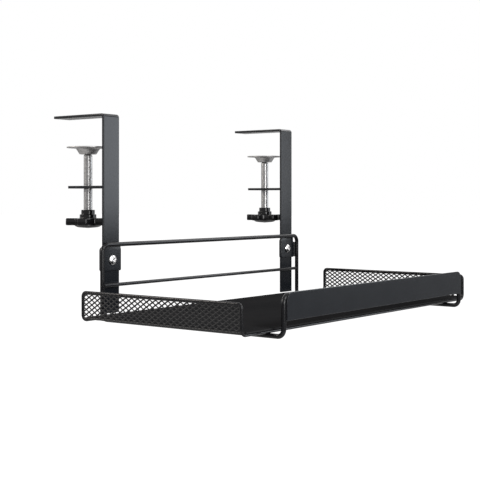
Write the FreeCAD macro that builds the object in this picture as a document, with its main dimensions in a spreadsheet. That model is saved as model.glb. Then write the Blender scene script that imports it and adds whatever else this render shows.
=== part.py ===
"""Under-desk shelf that hangs from a desk's rear edge by two screw clamps.

Millimetres. X runs along the shelf, +Y points under the desk, +Z is up. The origin lies midway
between the two bars, on the desk's edge: the bars' rear faces are at Y = 0, and the arms' undersides,
which rest on the desk top, are at Z = 0. The shelf's open front faces -Y.
"""
import FreeCAD, Part
import math
import os
import re
import Sketcher

SIZES = {
    # Bracket bars: flat steel, bent once into an upright and an arm
    "bar_spacing": 338,
    "bar_width": 25,
    "bar_thickness": 3,
    "bar_drop": 218,
    "bar_inside_bend": 1,
    "arm_length": 80,
    # Clamp plates, welded to the backs of the bars
    "plate_drop": 76.8,
    "plate_thickness": 3,
    "plate_length": 55,
    "plate_corner": 3,
    # Clamp screws: thread, and the neck that turns in the pad
    "screw_offset": 34,
    "screw_diameter": 10,
    "screw_length": 77.7,
    "screw_chamfer": 1.2,
    "thread_clearance": 0.05,
    "neck_diameter": 7,
    "neck_length": 5,
    "neck_clearance": 0.1,
    # Clamp pads: a pressed disc with a cup under it. The throat is the gap from arm to pad
    "throat": 32.7,
    "pad_diameter": 48,
    "pad_rim": 1.3,
    "pad_height": 8.4,
    "cup_top_diameter": 27.4,
    "cup_bottom_diameter": 19,
    # Star knobs
    "knob_diameter": 50,
    "knob_lobes": 5,
    "lobe_height": 8.1,
    "lobe_round": 3.5,
    "recess_depth": 8,
    "recess_radius": 9,
    "core_step": 1,
    "hub_diameter": 15.4,
    "hub_height": 5,
    "tier_diameter": 19,
    "tier_height": 4.3,
    "dome_depth": 3.4,
    "screw_in_knob": 15,
    "knob_clearance": 0.02,
    "left_knob_turn": 60.5,
    "right_knob_turn": 1.5,
    # Saddle channels: bent sheet that hooks round the bar, welded to the rear guard's upright
    "saddle_sheet": 1.5,
    "saddle_height": 26.8,
    "saddle_play": 1,
    "saddle_inside_bend": 1,
    "outer_flange": 5.8,
    "inner_flange": 3.4,
    "flange_corner": 2.2,
    "weld_width": 0.8,
    "weld_clearance": 0.05,
    # Channel bolts and nuts. The wire height is from the bolt up to the rear guard's top wire
    "bolt_drop": 159,
    "bolt_to_wire": 17.1,
    "bolt_diameter": 6,
    "bolt_clearance": 0.2,
    "bolt_head_diameter": 11,
    "bolt_head_height": 3.3,
    "bolt_head_edge": 0.8,
    "socket_width": 4,
    "socket_depth": 2,
    "nut_width": 10,
    "nut_thickness": 5,
    "bolt_end": 1.5,
    # Cradle wires: legs under the shelf, a high guard behind and a low one in front
    "wire_diameter": 5,
    "leg_bend": 7,
    "leg_rise": 12.5,
    "guard_bend": 8,
    "rear_guard_height": 81.2,
    "front_guard_height": 39.5,
    "front_standoff": 14.8,
    "mid_rod_diameter": 4,
    "mid_rod_height": 36.6,
    "rod_clearance": 0.05,
    # Front panel
    "panel_inset": 0.8,
    "panel_rise": 15.4,
    "panel_height": 27.2,
    "panel_thickness": 1.2,
    "panel_corner": 10,
    # Shelf: floor plate on two rails. Each end rim joins the rails' upturned ends, mesh fills it
    "tray_length": 467.2,
    "tray_depth": 213,
    "tray_setback": 21.5,
    "floor_thickness": 1.6,
    "rail_diameter": 3,
    "rail_bend": 6,
    "rail_upturn": 9,
    "rim_height": 29.8,
    "rim_bend": 4.5,
    # Expanded metal: diamonds in staggered rows
    "mesh_thickness": 1.1,
    "mesh_cell_along": 8.12,
    "mesh_cell_up": 5.13,
    "mesh_strand": 1.3,
    "mesh_border": 0.5,
    "mesh_clearance": 0.05,
}

# Levels and planes that several pieces share, as expressions of the sizes
BAR_X = "(bar_spacing / 2)"
SADDLE_HALF = "(bar_width / 2 + saddle_play + saddle_sheet)"
WEB_FRONT_Y = "(-bar_thickness - saddle_sheet)"
WIRE_X = f"({BAR_X} + {SADDLE_HALF} + weld_width + wire_diameter / 2)"
REAR_Y = f"({WEB_FRONT_Y} - wire_diameter / 2)"
FRONT_Y = "(-tray_setback - tray_depth - front_standoff)"
BOLT_Z = "(-bolt_drop)"
GUARD_Z = f"({BOLT_Z} + bolt_to_wire)"
SADDLE_TOP_Z = f"({GUARD_Z} - wire_diameter / 2)"
SADDLE_LOW_Z = f"({SADDLE_TOP_Z} - saddle_height)"
LEG_Z = f"({GUARD_Z} - rear_guard_height)"
JOINT_Z = f"({LEG_Z} + leg_rise)"
RAIL_Z = f"({LEG_Z} + wire_diameter / 2 + rail_diameter / 2)"
FLOOR_LOW_Z = f"({RAIL_Z} + rail_diameter / 2)"
RAIL_FRONT_Y = "(-tray_setback - tray_depth + rail_diameter / 2)"
RAIL_REAR_Y = "(-tray_setback - rail_diameter / 2)"
RIM_X = "(tray_length / 2 - rail_diameter / 2)"
RIM_JOINT_Z = f"({RAIL_Z} + rail_upturn)"
RIM_TOP_Z = f"({RAIL_Z} + rim_height)"
CUP_LOW_Z = "(-throat - pad_height)"
SCREW_LOW_Z = f"({CUP_LOW_Z} - screw_length)"
KNOB_TOP_Z = f"({SCREW_LOW_Z} + screw_in_knob)"

SIDES = {"left": -1, "right": 1}

doc = FreeCAD.newDocument("under_desk_shelf")
sheet = doc.addObject("Spreadsheet::Sheet", "Sizes")
for row, (alias, value) in enumerate(SIZES.items(), start=1):
    sheet.set(f"A{row}", alias.replace("_", " "))
    sheet.set(f"B{row}", str(value))
    sheet.setAlias(f"B{row}", alias)
doc.recompute()

parts = []


def cells(text):
    """The expression with each size's name turned into its cell."""
    return re.sub(r"[a-z_]{3,}", lambda word: "Sizes." + word[0] if word[0] in SIZES else word[0], str(text))


def number(text):
    """What an expression of the sizes comes to now."""
    return float(sheet.evalExpression(cells(text)))


def bind(thing, **links):
    """Ties properties to expressions, such as Length="bar_width"; __ in a name stands for a dot."""
    for name, text in links.items():
        thing.setExpression(name.replace("__", "."), cells(text))


def piece(label, x="0", y="0", z="0", turn=None):
    """A body with its place tied to the sizes, and turned if turn says so."""
    body = doc.addObject("PartDesign::Body", label)
    body.Label = label
    if turn:
        body.Placement = FreeCAD.Placement(FreeCAD.Vector(), turn)
    bind(body, Placement__Base__x=x, Placement__Base__y=y, Placement__Base__z=z)
    parts.append(body)
    return body


def sketch_on(body, role, name, offset="0"):
    """A sketch on one of the body's origin planes, lifted off it along its normal."""
    plane = next(item for item in body.Origin.OriginFeatures if item.Role == role)
    sketch = body.newObject("Sketcher::SketchObject", name)
    sketch.AttachmentSupport = [(plane, "")]
    sketch.MapMode = "FlatFace"
    bind(sketch, AttachmentOffset__Base__z=offset)
    return sketch


def hold(sketch, kind, *args, text):
    """Adds a constraint with a size and ties it to an expression."""
    index = sketch.addConstraint(Sketcher.Constraint(kind, *args, number(text)))
    sketch.setExpression(f"Constraints[{index}]", cells(text))


def across(sketch, line, end, x):
    """Holds one end of a line at x, on the sketch's upright axis where x is 0."""
    if x == "0":
        sketch.addConstraint(Sketcher.Constraint("PointOnObject", line, end, -2))
    else:
        hold(sketch, "DistanceX", -1, 1, line, end, text=x)


def up(sketch, line, end, y):
    """Holds one end of a line at height y, on the sketch's level axis where y is 0."""
    if y == "0":
        sketch.addConstraint(Sketcher.Constraint("PointOnObject", line, end, -1))
    else:
        hold(sketch, "DistanceY", -1, 1, line, end, text=y)


def pin_point(sketch, line, end, x, y):
    """Fixes one end of a line at x, y."""
    across(sketch, line, end, x)
    up(sketch, line, end, y)


def circle(sketch, x, y, radius):
    """A circle at x, y."""
    place = FreeCAD.Vector(number(x), number(y), 0)
    index = sketch.addGeometry(Part.Circle(place, FreeCAD.Vector(0, 0, 1), number(radius)), False)
    hold(sketch, "Radius", index, text=radius)
    pin_point(sketch, index, 3, x, y)


def polygon(sketch, points, domes=()):
    """A closed outline through points. A side listed in domes is an arc centred on the Y axis."""
    spots = [FreeCAD.Vector(number(x), number(y), 0) for x, y in points]
    count = len(points)
    for index, (x, y) in enumerate(points):
        start = spots[index]
        end = spots[(index + 1) % count]
        if index in domes:
            shift = (start.x ** 2 + start.y ** 2 - end.x ** 2 - end.y ** 2) / (2 * (start.y - end.y))
            centre = FreeCAD.Vector(0, shift, 0)
            radius = start.distanceToPoint(centre)
            angles = sorted(math.atan2(spot.y - shift, spot.x) for spot in (start, end))
            around = Part.Circle(centre, FreeCAD.Vector(0, 0, 1), radius)
            sketch.addGeometry(Part.ArcOfCircle(around, *angles), False)
        else:
            sketch.addGeometry(Part.LineSegment(start, end), False)
    for index, (x, y) in enumerate(points):
        follower = (index + 1) % count
        ends = (arc_end(sketch, index, spots[follower]), arc_end(sketch, follower, spots[follower]))
        sketch.addConstraint(Sketcher.Constraint("Coincident", index, ends[0], follower, ends[1]))
        pin_point(sketch, index, arc_end(sketch, index, spots[index]), x, y)
    for index in domes:
        sketch.addConstraint(Sketcher.Constraint("PointOnObject", index, 3, -2))


def arc_end(sketch, index, spot):
    """Which end of a line or an arc lies at spot: 1 for its start, 2 for its end."""
    shape = sketch.Geometry[index]
    return 1 if shape.StartPoint.distanceToPoint(spot) < shape.EndPoint.distanceToPoint(spot) else 2


def quarter(sketch, centre, start, end):
    """An arc about centre, anticlockwise from start to end."""
    first = math.atan2(start.y - centre.y, start.x - centre.x)
    last = math.atan2(end.y - centre.y, end.x - centre.x)
    if last < first:
        last += 2 * math.pi
    around = Part.Circle(centre, FreeCAD.Vector(0, 0, 1), start.distanceToPoint(centre))
    return sketch.addGeometry(Part.ArcOfCircle(around, first, last), False)


def run_with_bends(sketch, corners, closed=False):
    """Runs along the two axes, joined by tangent arcs.

    Each corner is (x, y, radius), where a radius of None leaves it sharp. An open route starts and
    ends at its first and last corners.
    """
    spots = [FreeCAD.Vector(number(x), number(y), 0) for x, y, _ in corners]
    radii = [0 if radius is None else number(radius) for _, _, radius in corners]
    count = len(corners)
    legs = count if closed else count - 1
    headings = [(spots[(i + 1) % count] - spots[i]).normalize() for i in range(legs)]
    for i in range(legs):
        start = spots[i] + headings[i] * radii[i]
        end = spots[(i + 1) % count] - headings[i] * radii[(i + 1) % count]
        sketch.addGeometry(Part.LineSegment(start, end), False)
        upright = abs(headings[i].y) > abs(headings[i].x)
        sketch.addConstraint(Sketcher.Constraint("Vertical" if upright else "Horizontal", i))
        if upright:
            across(sketch, i, 1, corners[i][0])
        else:
            up(sketch, i, 1, corners[i][1])
    if not closed:
        for leg, end, corner in ((0, 1, corners[0]), (legs - 1, 2, corners[-1])):
            if abs(headings[leg].y) > abs(headings[leg].x):
                up(sketch, leg, end, corner[1])
            else:
                across(sketch, leg, end, corner[0])
    for i in range(0 if closed else 1, legs):
        before = (i - 1) % legs
        if corners[i][2] is None:
            sketch.addConstraint(Sketcher.Constraint("Coincident", before, 2, i, 1))
            continue
        entry = spots[i] - headings[before] * radii[i]
        leave = spots[i] + headings[i] * radii[i]
        turns_left = headings[before].cross(headings[i]).z > 0
        arc = quarter(sketch, entry + headings[i] * radii[i], *((entry, leave) if turns_left else (leave, entry)))
        sketch.addConstraint(Sketcher.Constraint("Tangent", before, 2, arc, 1 if turns_left else 2))
        sketch.addConstraint(Sketcher.Constraint("Tangent", i, 1, arc, 2 if turns_left else 1))
        hold(sketch, "Radius", arc, text=corners[i][2])


def pad(body, sketch, length, midplane=False):
    """Material along the sketch's normal."""
    feature = body.newObject("PartDesign::Pad", sketch.Name + "_pad")
    feature.Profile = sketch
    feature.Midplane = midplane
    bind(feature, Length=length)
    return feature


def cut_through(body, sketch):
    """A cut both ways from the sketch, through the whole piece."""
    feature = body.newObject("PartDesign::Pocket", sketch.Name + "_cut")
    feature.Profile = sketch
    feature.Type = "ThroughAll"
    feature.Midplane = True
    return feature


def turned(body, sketch):
    """A full turn of the sketch about its own vertical axis."""
    feature = body.newObject("PartDesign::Revolution", sketch.Name + "_turn")
    feature.Profile = sketch
    feature.ReferenceAxis = (sketch, ["V_Axis"])
    return feature


def swept(body, section, route):
    """A section carried along a route."""
    feature = body.newObject("PartDesign::AdditivePipe", route.Name + "_pipe")
    feature.Profile = section
    feature.Spine = route
    return feature


def edges_where(feature, test):
    """Names of a feature's edges whose middle and direction pass a test."""
    doc.recompute()
    names = []
    for index, edge in enumerate(feature.Shape.Edges, start=1):
        middle = edge.valueAt((edge.FirstParameter + edge.LastParameter) / 2)
        along = edge.Vertexes[-1].Point - edge.Vertexes[0].Point
        if test(middle, along):
            names.append(f"Edge{index}")
    return names


def rounded_edges(body, base, test, **links):
    """A fillet of the edges that pass the test."""
    feature = body.newObject("PartDesign::Fillet", f"{base.Name}_fillet")
    feature.Base = (base, edges_where(base, test))
    bind(feature, **links)
    return feature


def hexagon(sketch, width):
    """A regular hexagon about the origin, with two flats along X."""
    half, tip = f"{width} / 2", f"{width} / sqrt(3)"
    near = f"{width} / sqrt(12)"
    polygon(sketch, [(tip, "0"), (near, half), (f"-{near}", half), (f"-{tip}", "0"),
                     (f"-{near}", f"-{half}"), (near, f"-{half}")])


def bracket_bar(side, sign):
    """Upright and arm, with the hole for the channel bolt."""
    body = piece(f"{side}_bracket_bar", x=f"{sign} * {BAR_X}")
    profile = sketch_on(body, "YZ_Plane", f"{side}_bar_profile")
    tip = "(arm_length - bar_thickness)"
    run_with_bends(profile, [
        (tip, "bar_thickness", None),
        ("-bar_thickness", "bar_thickness", "bar_inside_bend + bar_thickness"),
        ("-bar_thickness", "-bar_drop", None),
        ("0", "-bar_drop", None),
        ("0", "0", "bar_inside_bend"),
        (tip, "0", None),
    ], closed=True)
    pad(body, profile, "bar_width", midplane=True)
    hole = sketch_on(body, "XZ_Plane", f"{side}_bar_hole")
    circle(hole, "0", BOLT_Z, "bolt_diameter / 2 + bolt_clearance")
    cut_through(body, hole)


def clamp_plate(side, sign):
    """Plate that carries the screw."""
    body = piece(f"{side}_clamp_plate", x=f"{sign} * {BAR_X}")
    outline = sketch_on(body, "XY_Plane", f"{side}_plate_outline", "-plate_drop - plate_thickness")
    run_with_bends(outline, [
        ("-bar_width / 2", "0", None),
        ("bar_width / 2", "0", None),
        ("bar_width / 2", "plate_length", "plate_corner"),
        ("-bar_width / 2", "plate_length", "plate_corner"),
    ], closed=True)
    pad(body, outline, "plate_thickness")
    hole = sketch_on(body, "XY_Plane", f"{side}_plate_hole")
    circle(hole, "0", "screw_offset", "screw_diameter / 2 + thread_clearance")
    cut_through(body, hole)


def clamp_screw(side, sign):
    """Thread, with a neck on top that turns in the pad's cup. Its origin is under the cup."""
    body = piece(f"{side}_clamp_screw", x=f"{sign} * {BAR_X}", y="screw_offset", z=CUP_LOW_Z)
    profile = sketch_on(body, "XZ_Plane", f"{side}_screw_profile")
    neck, radius = "neck_diameter / 2", "screw_diameter / 2"
    shoulder = "(screw_diameter - neck_diameter) / 2"
    polygon(profile, [
        ("0", "neck_length"),
        (neck, "neck_length"),
        (neck, "-neck_clearance"),
        (radius, f"-neck_clearance - {shoulder}"),
        (radius, "screw_chamfer - screw_length"),
        ("screw_diameter / 2 - screw_chamfer", "-screw_length"),
        ("0", "-screw_length"),
    ])
    turned(body, profile)


def clamp_pad(side, sign):
    """Disc with a cup under it, which holds the screw's neck. Its origin is on its top face."""
    body = piece(f"{side}_clamp_pad", x=f"{sign} * {BAR_X}", y="screw_offset", z="-throat")
    profile = sketch_on(body, "XZ_Plane", f"{side}_pad_profile")
    socket = "neck_diameter / 2 + neck_clearance"
    ceiling = "neck_length + neck_clearance - pad_height"
    polygon(profile, [
        ("0", "0"),
        ("pad_diameter / 2", "0"),
        ("pad_diameter / 2", "-pad_rim"),
        ("cup_top_diameter / 2", "-pad_rim"),
        ("cup_bottom_diameter / 2", "-pad_height"),
        (socket, "-pad_height"),
        (socket, ceiling),
        ("0", ceiling),
    ])
    turned(body, profile)


def star_knob(side, sign):
    """Lobed knob with a stepped hub above and a dome below. Its origin is on the hub's top."""
    turn = FreeCAD.Rotation(FreeCAD.Vector(0, 0, 1), number(f"{side}_knob_turn"))
    body = piece(f"{side}_star_knob", x=f"{sign} * {BAR_X}", y="screw_offset", z=KNOB_TOP_Z, turn=turn)
    bind(body, Placement__Rotation__Angle=f"{side}_knob_turn * 1 deg")
    lobe_top = "(-hub_height - tier_height)"
    lobe_low = f"({lobe_top} - lobe_height)"
    core = "knob_diameter / 2 - recess_depth - core_step"
    disc = sketch_on(body, "XY_Plane", f"{side}_knob_disc", lobe_low)
    circle(disc, "0", "0", "knob_diameter / 2")
    pad(body, disc, "lobe_height")
    recess = sketch_on(body, "XY_Plane", f"{side}_knob_recess", lobe_low)
    away = "(knob_diameter / 2 - recess_depth + recess_radius)"
    half = "(180 deg / knob_lobes)"
    circle(recess, f"{away} * cos{half}", f"{away} * sin{half}", "recess_radius")
    gap = cut_through(body, recess)
    around = body.newObject("PartDesign::PolarPattern", f"{side}_knob_recesses")
    around.Originals = [gap]
    around.Axis = (disc, ["N_Axis"])
    around.Angle = 360
    bind(around, Occurrences="knob_lobes")
    body.Tip = around
    rim = number("knob_diameter / 2") - 0.01
    rounded = rounded_edges(body, around, lambda middle, along: abs(along.z) > 1
                            and math.hypot(middle.x, middle.y) > rim, Radius="lobe_round")
    body.Tip = rounded
    profile = sketch_on(body, "XZ_Plane", f"{side}_knob_core")
    bore = "screw_diameter / 2 + knob_clearance"
    polygon(profile, [
        ("0", "-screw_in_knob - knob_clearance"),
        (bore, "-screw_in_knob - knob_clearance"),
        (bore, "0"),
        ("hub_diameter / 2", "0"),
        ("hub_diameter / 2", "-hub_height"),
        ("tier_diameter / 2", "-hub_height"),
        ("tier_diameter / 2", lobe_top),
        (core, lobe_top),
        (core, lobe_low),
        ("0", f"{lobe_low} - dome_depth"),
    ], domes=[8])
    turned(body, profile)
    socket = sketch_on(body, "XY_Plane", f"{side}_knob_bore", "-screw_in_knob - knob_clearance")
    circle(socket, "0", "0", bore)
    opened = body.newObject("PartDesign::Pocket", f"{side}_knob_bore_cut")
    opened.Profile = socket
    opened.Reversed = True
    bind(opened, Length="screw_in_knob + knob_clearance")


def saddle_channel(side, sign):
    """Channel round the bar, with the weld that joins it to the rear guard's upright."""
    body = piece(f"{side}_saddle_channel", x=f"{sign} * {BAR_X}")
    section = sketch_on(body, "XY_Plane", f"{side}_saddle_section", SADDLE_LOW_Z)
    outer, inner = f"{sign} * {SADDLE_HALF}", f"{sign} * ({SADDLE_HALF} - saddle_sheet)"
    far, far_inner = f"{-sign} * {SADDLE_HALF}", f"{-sign} * ({SADDLE_HALF} - saddle_sheet)"
    outside = "saddle_inside_bend + saddle_sheet"
    run_with_bends(section, [
        (outer, f"{WEB_FRONT_Y} + outer_flange", None),
        (outer, WEB_FRONT_Y, outside),
        (far, WEB_FRONT_Y, outside),
        (far, f"{WEB_FRONT_Y} + inner_flange", None),
        (far_inner, f"{WEB_FRONT_Y} + inner_flange", None),
        (far_inner, "-bar_thickness", "saddle_inside_bend"),
        (inner, "-bar_thickness", "saddle_inside_bend"),
        (inner, f"{WEB_FRONT_Y} + outer_flange", None),
    ], closed=True)
    channel = pad(body, section, "saddle_height")
    tip = number(f"{WEB_FRONT_Y} + outer_flange")
    rounded = rounded_edges(body, channel, lambda middle, along: abs(middle.y - tip) < 0.001
                            and abs(along.x) > 0.1, Radius="flange_corner")
    body.Tip = rounded
    weld = sketch_on(body, "XY_Plane", f"{side}_weld_section", SADDLE_LOW_Z)
    wire = f"({WIRE_X} - {BAR_X})"
    on_web = f"{sign} * ({SADDLE_HALF} - {outside} - saddle_sheet / 4)"
    on_flange = f"{WEB_FRONT_Y} + {outside} + saddle_sheet / 4"
    polygon(weld, [
        (on_web, WEB_FRONT_Y),
        (f"{sign} * ({wire} - wire_diameter / 2)", REAR_Y),
        (f"{sign} * {wire}", REAR_Y),
        (f"{sign} * {wire}", WEB_FRONT_Y),
        (outer, on_flange),
        (f"{outer} - {sign} * saddle_sheet / 2", on_flange),
        (on_web, f"{WEB_FRONT_Y} + saddle_sheet / 2"),
    ])
    pad(body, weld, f"{GUARD_Z} - guard_bend - {SADDLE_LOW_Z}")
    seat = sketch_on(body, "XY_Plane", f"{side}_weld_seat")
    circle(seat, f"{sign} * {wire}", REAR_Y, "wire_diameter / 2 + weld_clearance")
    cut_through(body, seat)
    hole = sketch_on(body, "XZ_Plane", f"{side}_saddle_hole")
    circle(hole, "0", BOLT_Z, "bolt_diameter / 2 + bolt_clearance")
    cut_through(body, hole)


TO_FRONT = FreeCAD.Rotation(FreeCAD.Vector(1, 0, 0), 90)


def channel_bolt(side, sign):
    """Domed bolt through the channel's web and the bar. Its own +Z points to the front."""
    body = piece(f"{side}_channel_bolt", x=f"{sign} * {BAR_X}", y=WEB_FRONT_Y, z=BOLT_Z, turn=TO_FRONT)
    profile = sketch_on(body, "XZ_Plane", f"{side}_bolt_profile")
    length = "(bar_thickness + saddle_sheet + nut_thickness + bolt_end)"
    polygon(profile, [
        ("0", f"-{length}"),
        ("bolt_diameter / 2", f"-{length}"),
        ("bolt_diameter / 2", "0"),
        ("bolt_head_diameter / 2", "0"),
        ("bolt_head_diameter / 2", "bolt_head_edge"),
        ("0", "bolt_head_height"),
    ], domes=[4])
    turned(body, profile)
    socket = sketch_on(body, "XY_Plane", f"{side}_bolt_socket", "bolt_head_height")
    hexagon(socket, "socket_width")
    opened = body.newObject("PartDesign::Pocket", f"{side}_bolt_socket_cut")
    opened.Profile = socket
    bind(opened, Length="socket_depth")


def channel_nut(side, sign):
    """Nut on the bar's rear face."""
    body = piece(f"{side}_channel_nut", x=f"{sign} * {BAR_X}", z=BOLT_Z, turn=TO_FRONT)
    outline = sketch_on(body, "XY_Plane", f"{side}_nut_outline", "-nut_thickness")
    hexagon(outline, "nut_width")
    pad(body, outline, "nut_thickness")
    hole = sketch_on(body, "XY_Plane", f"{side}_nut_hole")
    circle(hole, "0", "0", "bolt_diameter / 2 + rod_clearance")
    cut_through(body, hole)


def guard_rod(label, plane_y, top_z):
    """Wire that rises from one leg, crosses over and comes down to the other."""
    body = piece(label, y=plane_y)
    route = sketch_on(body, "XZ_Plane", label + "_route")
    run_with_bends(route, [
        (f"-{WIRE_X}", JOINT_Z, None),
        (f"-{WIRE_X}", top_z, "guard_bend"),
        (WIRE_X, top_z, "guard_bend"),
        (WIRE_X, JOINT_Z, None),
    ])
    section = sketch_on(body, "XY_Plane", label + "_section", JOINT_Z)
    circle(section, f"-{WIRE_X}", "0", "wire_diameter / 2")
    swept(body, section, route)


def leg_rod(side, sign):
    """Wire that passes under the shelf and turns up at both ends."""
    body = piece(f"{side}_leg_rod", x=f"{sign} * {WIRE_X}")
    route = sketch_on(body, "YZ_Plane", f"{side}_leg_route")
    run_with_bends(route, [
        (FRONT_Y, JOINT_Z, None),
        (FRONT_Y, LEG_Z, "leg_bend"),
        (REAR_Y, LEG_Z, "leg_bend"),
        (REAR_Y, JOINT_Z, None),
    ])
    section = sketch_on(body, "XY_Plane", f"{side}_leg_section", JOINT_Z)
    circle(section, "0", FRONT_Y, "wire_diameter / 2")
    swept(body, section, route)


def straight_rod(label, y, z, diameter, length):
    """Wire along X."""
    body = piece(label, y=y, z=z)
    section = sketch_on(body, "YZ_Plane", label + "_section")
    circle(section, "0", "0", f"{diameter} / 2")
    pad(body, section, length, midplane=True)


def rail(label, plane_y):
    """Wire under one long edge of the floor, turned up at both ends."""
    body = piece(label, y=plane_y)
    route = sketch_on(body, "XZ_Plane", label + "_route")
    run_with_bends(route, [
        (f"-{RIM_X}", RIM_JOINT_Z, None),
        (f"-{RIM_X}", RAIL_Z, "rail_bend"),
        (RIM_X, RAIL_Z, "rail_bend"),
        (RIM_X, RIM_JOINT_Z, None),
    ])
    section = sketch_on(body, "XY_Plane", label + "_section", RIM_JOINT_Z)
    circle(section, f"-{RIM_X}", "0", "rail_diameter / 2")
    swept(body, section, route)


def end_rim(side, sign):
    """Wire that runs on from the two rails' upturned ends, over one end of the shelf."""
    body = piece(f"{side}_end_rim", x=f"{sign} * {RIM_X}")
    route = sketch_on(body, "YZ_Plane", f"{side}_rim_route")
    run_with_bends(route, [
        (RAIL_FRONT_Y, RIM_JOINT_Z, None),
        (RAIL_FRONT_Y, RIM_TOP_Z, "rim_bend"),
        (RAIL_REAR_Y, RIM_TOP_Z, "rim_bend"),
        (RAIL_REAR_Y, RIM_JOINT_Z, None),
    ])
    section = sketch_on(body, "XY_Plane", f"{side}_rim_section", RIM_JOINT_Z)
    circle(section, "0", RAIL_FRONT_Y, "rail_diameter / 2")
    swept(body, section, route)


def floor_plate():
    """Smooth sheet on the two rails, notched at its corners for their upturned ends."""
    body = piece("floor_plate")
    outline = sketch_on(body, "XY_Plane", "floor_outline", FLOOR_LOW_Z)
    end = f"({RIM_X} - mesh_thickness / 2 - mesh_clearance)"
    step = f"({RIM_X} - rail_bend)"
    front, rear = "(-tray_setback - tray_depth)", "(-tray_setback)"
    notch = "(rail_diameter + rod_clearance)"
    run_with_bends(outline, [
        (f"-{end}", f"{front} + {notch}", None),
        (f"-{step}", f"{front} + {notch}", None),
        (f"-{step}", front, None),
        (step, front, None),
        (step, f"{front} + {notch}", None),
        (end, f"{front} + {notch}", None),
        (end, f"{rear} - {notch}", None),
        (step, f"{rear} - {notch}", None),
        (step, rear, None),
        (f"-{step}", rear, None),
        (f"-{step}", f"{rear} - {notch}", None),
        (f"-{end}", f"{rear} - {notch}", None),
    ], closed=True)
    pad(body, outline, "floor_thickness")


def front_panel():
    """Sheet strip on the front of the low guard, with rounded top corners."""
    body = piece("front_panel", y=f"{FRONT_Y} - wire_diameter / 2")
    outline = sketch_on(body, "XZ_Plane", "panel_outline")
    side = f"({WIRE_X} - panel_inset)"
    low = f"({LEG_Z} + panel_rise)"
    run_with_bends(outline, [
        (f"-{side}", low, None),
        (side, low, None),
        (side, f"{low} + panel_height", "panel_corner"),
        (f"-{side}", f"{low} + panel_height", "panel_corner"),
    ], closed=True)
    pad(body, outline, "panel_thickness")


def clipped(shape, border):
    """The part of a convex polygon inside a convex border, both anticlockwise lists of (y, z)."""
    for (y0, z0), (y1, z1) in zip(border, border[1:] + border[:1]):
        inside = [(y1 - y0) * (z - z0) - (z1 - z0) * (y - y0) for y, z in shape]
        kept = []
        for here, (y, z) in enumerate(shape):
            after = (here + 1) % len(shape)
            if inside[here] >= 0:
                kept.append((y, z))
            if inside[here] * inside[after] < 0:
                share = inside[here] / (inside[here] - inside[after])
                kept.append((y + share * (shape[after][0] - y), z + share * (shape[after][1] - z)))
        shape = kept
    return shape


def area(shape):
    """Area of an anticlockwise polygon."""
    return sum(y0 * z1 - y1 * z0 for (y0, z0), (y1, z1) in zip(shape, shape[1:] + shape[:1])) / 2


def chamfered_box(low, high, corner):
    """A rectangle with its two upper corners cut, anticlockwise."""
    (y0, z0), (y1, z1) = low, high
    return [(y0, z0), (y1, z0), (y1, z1 - corner), (y1 - corner, z1), (y0 + corner, z1), (y0, z1 - corner)]


def end_mesh(side, sign):
    """Expanded metal: one sheet holed by staggered diamonds, between the floor's end and the end rim."""
    inset = number("rail_diameter / 2 + mesh_clearance")
    low = (number(RAIL_FRONT_Y) + inset, number(FLOOR_LOW_Z))
    high = (number(RAIL_REAR_Y) - inset, number(RIM_TOP_Z) - inset)
    corner = number("rim_bend - rail_diameter / 2")
    band = number("mesh_border")
    sheet_edge = chamfered_box(low, high, corner)
    hole_edge = chamfered_box([c + band for c in low], [c - band for c in high], corner)
    half_y, half_z = number("mesh_cell_along / 2"), number("mesh_cell_up / 2")
    to_side = half_y * half_z / math.hypot(half_y, half_z)
    shrink = 1 - number("mesh_strand / 2") / to_side
    diamond = [(half_y * shrink, 0), (0, half_z * shrink), (-half_y * shrink, 0), (0, -half_z * shrink)]
    middle_y, middle_z = (low[0] + high[0]) / 2, (low[1] + high[1]) / 2
    columns = math.ceil((high[0] - low[0]) / 2 / half_y)
    rows = math.ceil((high[1] - low[1]) / 2 / half_z)
    outlines = [sheet_edge]
    for row in range(-rows, rows + 1):
        for column in range(-columns, columns + 1):
            if (row + column) % 2:
                continue
            cell = [(middle_y + column * half_y + y, middle_z + row * half_z + z) for y, z in diamond]
            hole = clipped(cell, hole_edge)
            if len(hole) > 2 and area(hole) > LEAST_HOLE * area(diamond):
                outlines.append(hole)
    wires = [Part.makePolygon([FreeCAD.Vector(0, y, z) for y, z in shape + shape[:1]]) for shape in outlines]
    face = Part.makeFace(wires, "Part::FaceMakerBullseye")
    thickness = number("mesh_thickness")
    panel = doc.addObject("Part::Feature", f"{side}_end_mesh")
    panel.Label = f"{side}_end_mesh"
    panel.Shape = face.extrude(FreeCAD.Vector(thickness, 0, 0))
    panel.Placement = FreeCAD.Placement(
        FreeCAD.Vector(sign * number(RIM_X) - thickness / 2, 0, 0), FreeCAD.Rotation())
    parts.append(panel)
    print(panel.Label, len(outlines) - 1, "holes")


# A diamond that the rim cuts down to less than this share of a whole one stays closed
LEAST_HOLE = 0.15

for side, sign in SIDES.items():
    bracket_bar(side, sign)
    clamp_plate(side, sign)
    clamp_screw(side, sign)
    clamp_pad(side, sign)
    star_knob(side, sign)
    saddle_channel(side, sign)
    channel_bolt(side, sign)
    channel_nut(side, sign)
    leg_rod(side, sign)
    end_rim(side, sign)
    end_mesh(side, sign)
guard_rod("rear_guard_rod", REAR_Y, GUARD_Z)
guard_rod("front_guard_rod", FRONT_Y, f"({LEG_Z} + front_guard_height)")
straight_rod("rear_mid_rod", REAR_Y, f"{LEG_Z} + mid_rod_height", "mid_rod_diameter",
             f"2 * ({WIRE_X} - wire_diameter / 2 - rod_clearance)")
rail("front_rail", RAIL_FRONT_Y)
rail("rear_rail", RAIL_REAR_Y)
front_panel()
floor_plate()

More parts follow.
